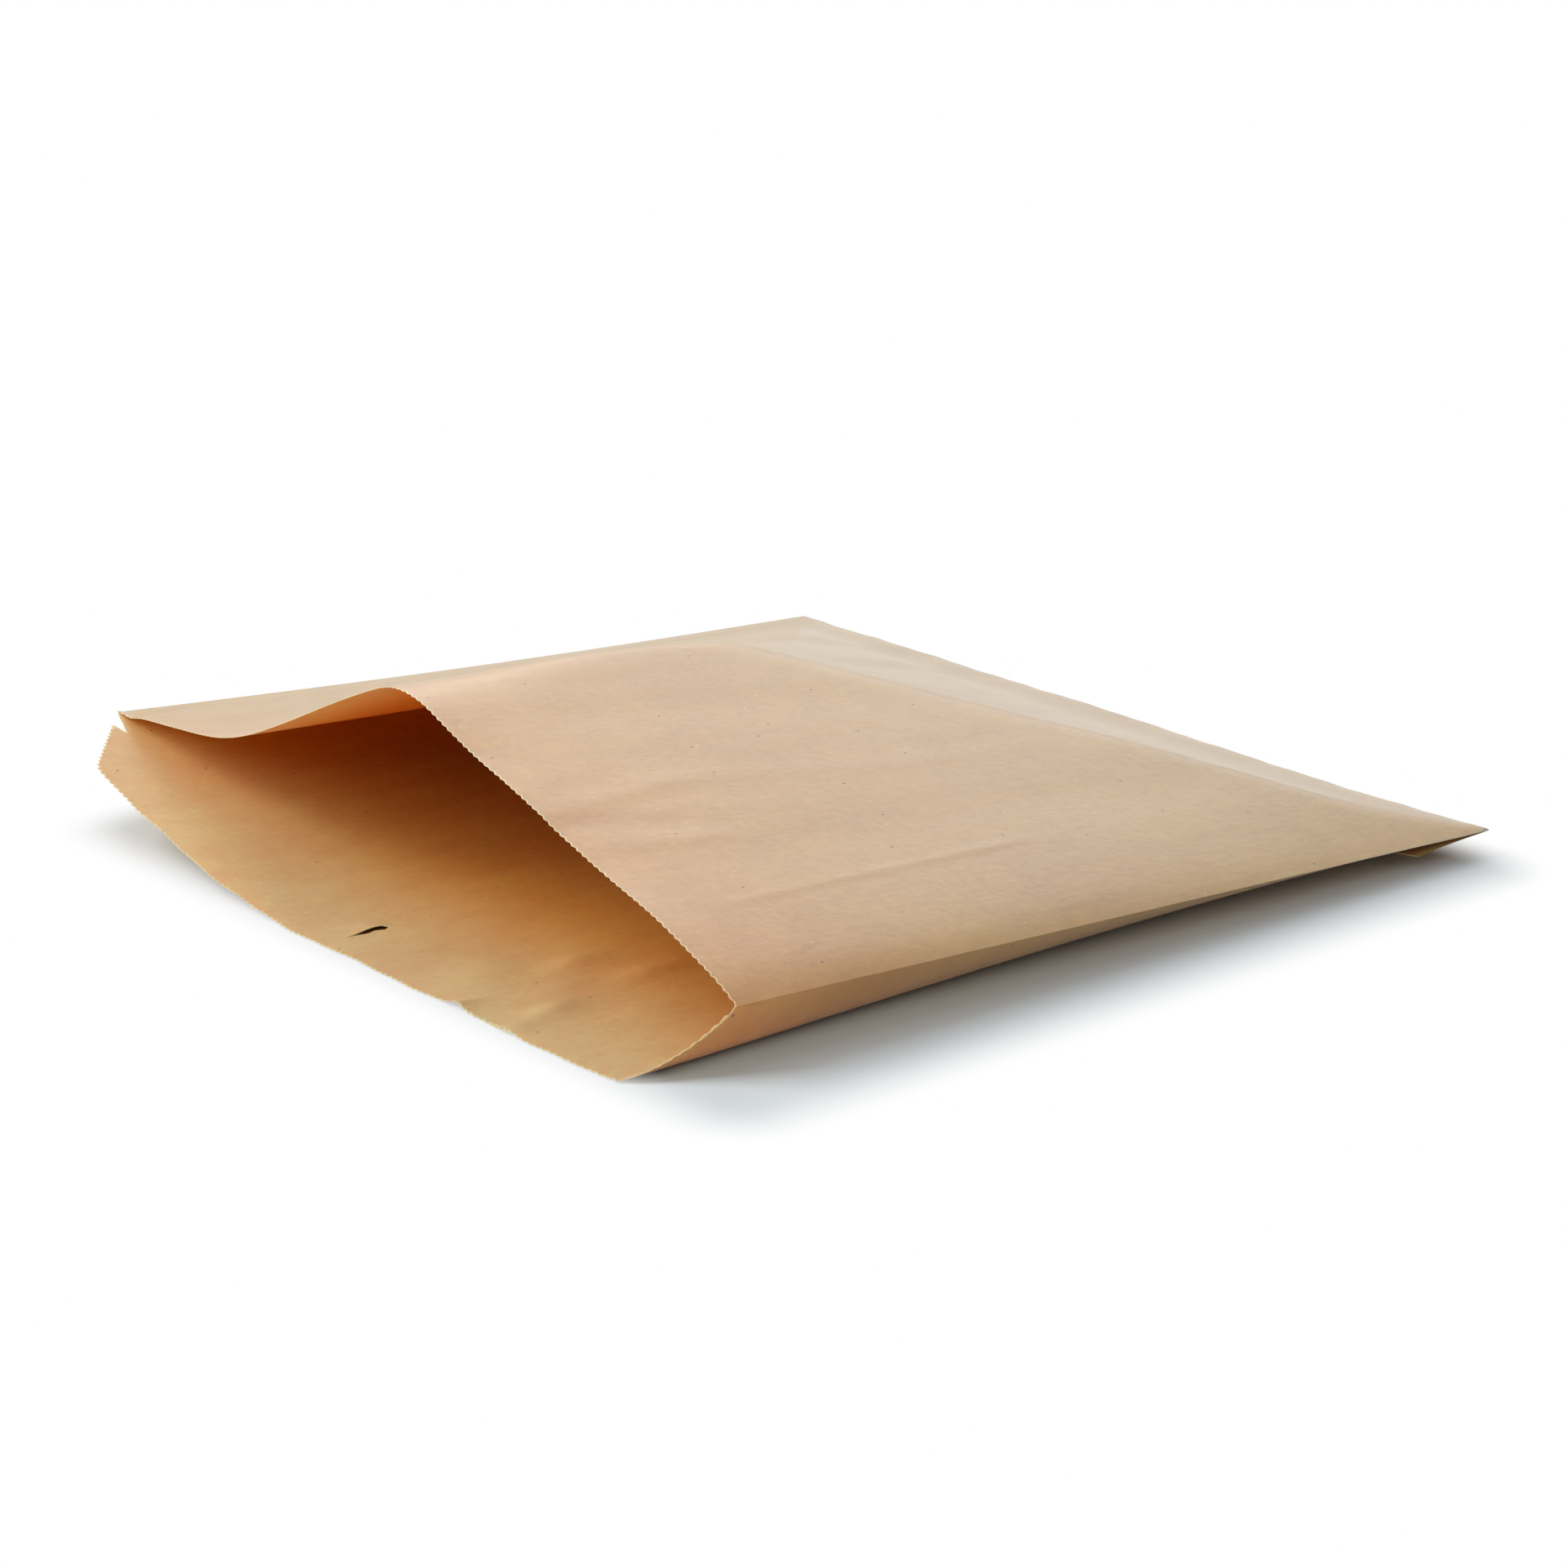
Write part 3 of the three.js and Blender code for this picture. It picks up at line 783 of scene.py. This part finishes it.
def kraft(material, mouth_colour, inner_colour, roughness, gloss, fuzz):
    tree = material.node_tree
    shader = tree.nodes["Principled BSDF"]
    place = add_node(tree, "ShaderNodeUVMap", {"uv_map": "UVMap"}).outputs[0]
    patches = sheet_pattern(tree, place, 42, 24, 2)
    clouds = sheet_pattern(tree, place, 9, 6, 3)
    flocks = sheet_pattern(tree, place, 2.6, 1.8, 3)
    streaks = sheet_pattern(tree, place, 70, 2.6, 2)
    # Real fibres are a few hundredths of a millimetre wide, too fine to show, so these are coarser.
    fibres = sheet_pattern(tree, place, 3.2, 0.45, 2)

    along_sheet = add_node(tree, "ShaderNodeSeparateXYZ", {0: place}).outputs[0]
    # Painted light and shade: the colour goes from the mouth colour to the inner colour along the sheet.
    ramp = {"interpolation_type": "SMOOTHSTEP", "From Min": -0.02, "From Max": 0.04}
    inside = add_node(tree, "ShaderNodeMapRange", {"Value": along_sheet, **ramp}).outputs[0]
    ends = {6: to_linear(mouth_colour), 7: to_linear(inner_colour)}
    tone = add_node(tree, "ShaderNodeMix", {"data_type": "RGBA", 0: inside, **ends}).outputs[2]
    overlay = {"data_type": "RGBA", "blend_type": "OVERLAY"}
    shares = ((patches, 0.16), (clouds, 0.12), (flocks, 0.12), (streaks, 0.07), (fibres, 0.12))
    for pattern, amount in shares:
        tone = add_node(tree, "ShaderNodeMix", {**overlay, 0: amount, 6: tone, 7: pattern}).outputs[2]

    bark = specks(tree, place, 13, 0.26, 0.35)
    straw = specks(tree, place, 14, 0.2, 0.3)
    from_cut = add_node(tree, "ShaderNodeAttribute", {"attribute_name": "from_cut"}).outputs["Fac"]
    fray_width = {"operation": "MULTIPLY_ADD", 0: fibres, 1: 0.8, 2: -0.14}
    fray = add_node(tree, "ShaderNodeMath", fray_width).outputs[0]
    frayed = add_node(tree, "ShaderNodeMath", {"operation": "LESS_THAN", 0: from_cut, 1: fray}).outputs[0]
    for share, colour in ((bark, "#6f4d2c"), (straw, "#e2cca6"), (frayed, "#efd7a8")):
        mixed = {"data_type": "RGBA", 0: share, 6: tone, 7: to_linear(colour)}
        tone = add_node(tree, "ShaderNodeMix", mixed).outputs[2]
    tree.links.new(tone, shader.inputs["Base Color"])

    spread = {"To Min": roughness - GLAZE_SPREAD, "To Max": roughness + GLAZE_SPREAD}
    glaze = add_node(tree, "ShaderNodeMapRange", {"Value": streaks, **spread}).outputs[0]
    tree.links.new(glaze, shader.inputs["Roughness"])
    relief = add_node(tree, "ShaderNodeMath", {"operation": "ADD", 0: clouds, 1: flocks}).outputs[0]
    depth = {"Height": relief, "Strength": 0.25, "Distance": 0.0003}
    grain = add_node(tree, "ShaderNodeBump", depth).outputs[0]
    tree.links.new(grain, shader.inputs["Normal"])
    shader.inputs["IOR"].default_value = 1.5
    shader.inputs["Specular IOR Level"].default_value = gloss
    shader.inputs["Sheen Weight"].default_value = fuzz
    shader.inputs["Sheen Roughness"].default_value = 0.35
    shader.inputs["Sheen Tint"].default_value = to_linear("#fff6e8")
    shader.inputs["Subsurface Weight"].default_value = 1.0
    shader.inputs["Subsurface Radius"].default_value = (1.0, 0.75, 0.45)
    shader.inputs["Subsurface Scale"].default_value = 0.0004


# The glazed outside gives a soft sheen on plain brown.
kraft(bpy.data.materials["glazed_kraft"], "#c89e5d", "#c89e5d", roughness=0.34, gloss=0.75, fuzz=0.42)
# The rough inside is dull. Its colour is painted pale at the mouth as painted light, and goes to a deep
# orange brown inside as painted shade.
kraft(bpy.data.materials["rough_kraft"], "#e1b985", "#d99444", roughness=0.55, gloss=0.35, fuzz=0.0)
# The cut edge shows the pale ends of the fibres as a thin light line.
kraft(bpy.data.materials["cut_kraft"], "#efd9b0", "#efd9b0", roughness=0.8, gloss=0.3, fuzz=0.3)
print("materials:", [m.name for m in bag.data.materials])

# %% [markdown]
# ## The table
#
# The photo was taken on white, with a soft shadow in front of the bag. A plane is the table. It is
# far wider than the view, and lies a hair below the bag so that the two don't touch.

# %% Lay the table
TABLE_SIZE = 12
TABLE_GAP = 0.0003
bpy.ops.object.select_all(action="DESELECT")
bpy.ops.mesh.primitive_plane_add(size=TABLE_SIZE, location=(0, 0, -TABLE_GAP))
floor = bpy.context.object
floor.name = "white_table"
bpy.ops.object.transform_apply(location=True, rotation=True, scale=True)
table = bpy.data.materials.new("white_table_top")
table.use_nodes = True
floor.data.materials.append(table)
print("floor", [round(v, 1) for v in floor.dimensions])

# %% [markdown]
# ## The white of the table
#
# The table keeps the shadow near the bag, and for the camera it goes over to plain white farther
# out. More light could whiten it too, but would bleach the bag as well. Under the slit the table
# is painted dark brown for the camera: painted shade, with the brown of light thrown back by the paper.

# %% Paint the table
SHADOW_MIDDLE = (0, -0.014, 0)
SHADOW_BOX = (0.11, 0.114, 0)
SHADOW_REACH = 0.002
WHITE_FROM = 0.022
# The box under the slit where the table is painted dark brown, as painted shade.
SLIT_SHADE_MIDDLE = (-0.111, 0.002, 0)
SLIT_SHADE_BOX = (0.008, 0.007, 0)
SLIT_SHADE_REACH = 0.003


def looked_at(tree):
    """1 for what the camera sees, itself or in a shine or through glass, and 0 for other light."""
    path = add_node(tree, "ShaderNodeLightPath", {}).outputs
    seen = path["Is Camera Ray"]
    for ray in ("Is Glossy Ray", "Is Transmission Ray"):
        seen = add_node(tree, "ShaderNodeMath", {"operation": "MAXIMUM", 0: seen, 1: path[ray]}).outputs[0]
    return seen


def beyond_box(tree, place, middle, half, start, end):
    """0 on the table inside a box, going over to 1 between these distances outside it."""
    steps = [{"operation": "SUBTRACT", 1: middle}, {"operation": "ABSOLUTE"}]
    steps += [{"operation": "SUBTRACT", 1: half}, {"operation": "MAXIMUM", 1: (0, 0, 0)}]
    for step in steps:
        place = add_node(tree, "ShaderNodeVectorMath", {**step, 0: place}).outputs[0]
    reach = add_node(tree, "ShaderNodeVectorMath", {"operation": "LENGTH", 0: place}).outputs["Value"]
    ramp = {"interpolation_type": "SMOOTHSTEP", "From Min": start, "From Max": end}
    return add_node(tree, "ShaderNodeMapRange", {"Value": reach, **ramp}).outputs[0]


tree = table.node_tree
tree.nodes.clear()
seen = looked_at(tree)
spot = add_node(tree, "ShaderNodeTexCoord", {}).outputs["Object"]
off_slit_shade = beyond_box(tree, spot, SLIT_SHADE_MIDDLE, SLIT_SHADE_BOX, 0, SLIT_SHADE_REACH)
far_off = beyond_box(tree, spot, SHADOW_MIDDLE, SHADOW_BOX, SHADOW_REACH, WHITE_FROM)
# Painted shade: under the slit the camera sees dark brown instead of the table's pale colour.
shown = {"data_type": "RGBA", 0: off_slit_shade, 6: to_linear("#956130"), 7: to_linear("#e4eaed")}
shown = add_node(tree, "ShaderNodeMix", shown).outputs[2]
shade = {"data_type": "RGBA", 0: seen, 6: to_linear("#dadada"), 7: shown}
shade = add_node(tree, "ShaderNodeMix", shade).outputs[2]
whiteness = add_node(tree, "ShaderNodeMath", {"operation": "MULTIPLY", 0: far_off, 1: seen}).outputs[0]
paint = add_node(tree, "ShaderNodeBsdfDiffuse", {"Color": shade}).outputs[0]
white = add_node(tree, "ShaderNodeEmission", {"Color": to_linear("#ffffff"), "Strength": 1.0}).outputs[0]
mixed = add_node(tree, "ShaderNodeMixShader", {0: whiteness, 1: paint, 2: white}).outputs[0]
add_node(tree, "ShaderNodeOutputMaterial", {"Surface": mixed})
print("table top painted with", len(tree.nodes), "nodes")

# %% [markdown]
# ## The white room
#
# Behind the bag the photo is plain white. The world is the room: the camera sees it as white, but
# it gives hardly any light itself, so that the lamps make the shading.

# %% Whiten the room
WORLD_LIGHT = 0.03
world = bpy.data.worlds.new("white_room")
bpy.context.scene.world = world
world.use_nodes = True
tree = world.node_tree
tree.nodes.clear()
level = {"Value": looked_at(tree), "To Min": WORLD_LIGHT, "To Max": 1.0}
level = add_node(tree, "ShaderNodeMapRange", level).outputs[0]
room = add_node(tree, "ShaderNodeBackground", {"Color": to_linear("#ffffff"), "Strength": level}).outputs[0]
add_node(tree, "ShaderNodeOutputWorld", {"Surface": room})
bpy.context.scene.view_settings.view_transform = "Standard"
print("world:", world.name)

# %% [markdown]
# ## The light
#
# The light in the photo is broad and soft, and comes mostly from behind and above. The main lamp
# stands at the back left, where it also shines into the mouth. Five weaker ones fill in: overhead,
# at the back right, at the front left, low at the left and, weakest, at the front right, which
# lifts the shadow. Large area lamps are used, because a small one would draw hard shadows. Each is
# listed as name, place, size and power.

# %% Light the bag
BAG_MIDDLE = (0, 0, 0.02)
LAMPS = [
    ("back_left_softbox", (-0.816, 0.684, 0.746), 0.9, 12.5),
    ("overhead_softbox", (0, 0.12, 1.29), 0.9, 3.1),
    ("back_right_softbox", (0.75, 0.69, 0.78), 0.9, 4.3),
    ("front_left_softbox", (-0.763, -0.64, 0.836), 0.9, 3.7),
    ("low_left_softbox", (-1.228, 0.329, 0.27), 0.7, 3),
    ("front_right_softbox", (0.5, -1.0, 0.55), 0.9, 1.4),
]
for name, place, size, power in LAMPS:
    turn = (Vector(BAG_MIDDLE) - Vector(place)).to_track_quat("-Z", "Y").to_euler()
    bpy.ops.object.light_add(type="AREA", location=place, rotation=turn)
    lamp = bpy.context.object
    lamp.name = name
    lamp.data.shape = "SQUARE"
    lamp.data.size = size
    lamp.data.energy = power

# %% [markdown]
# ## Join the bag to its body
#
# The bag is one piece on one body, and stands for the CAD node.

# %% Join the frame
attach(bag, "root")
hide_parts("paper_bag")
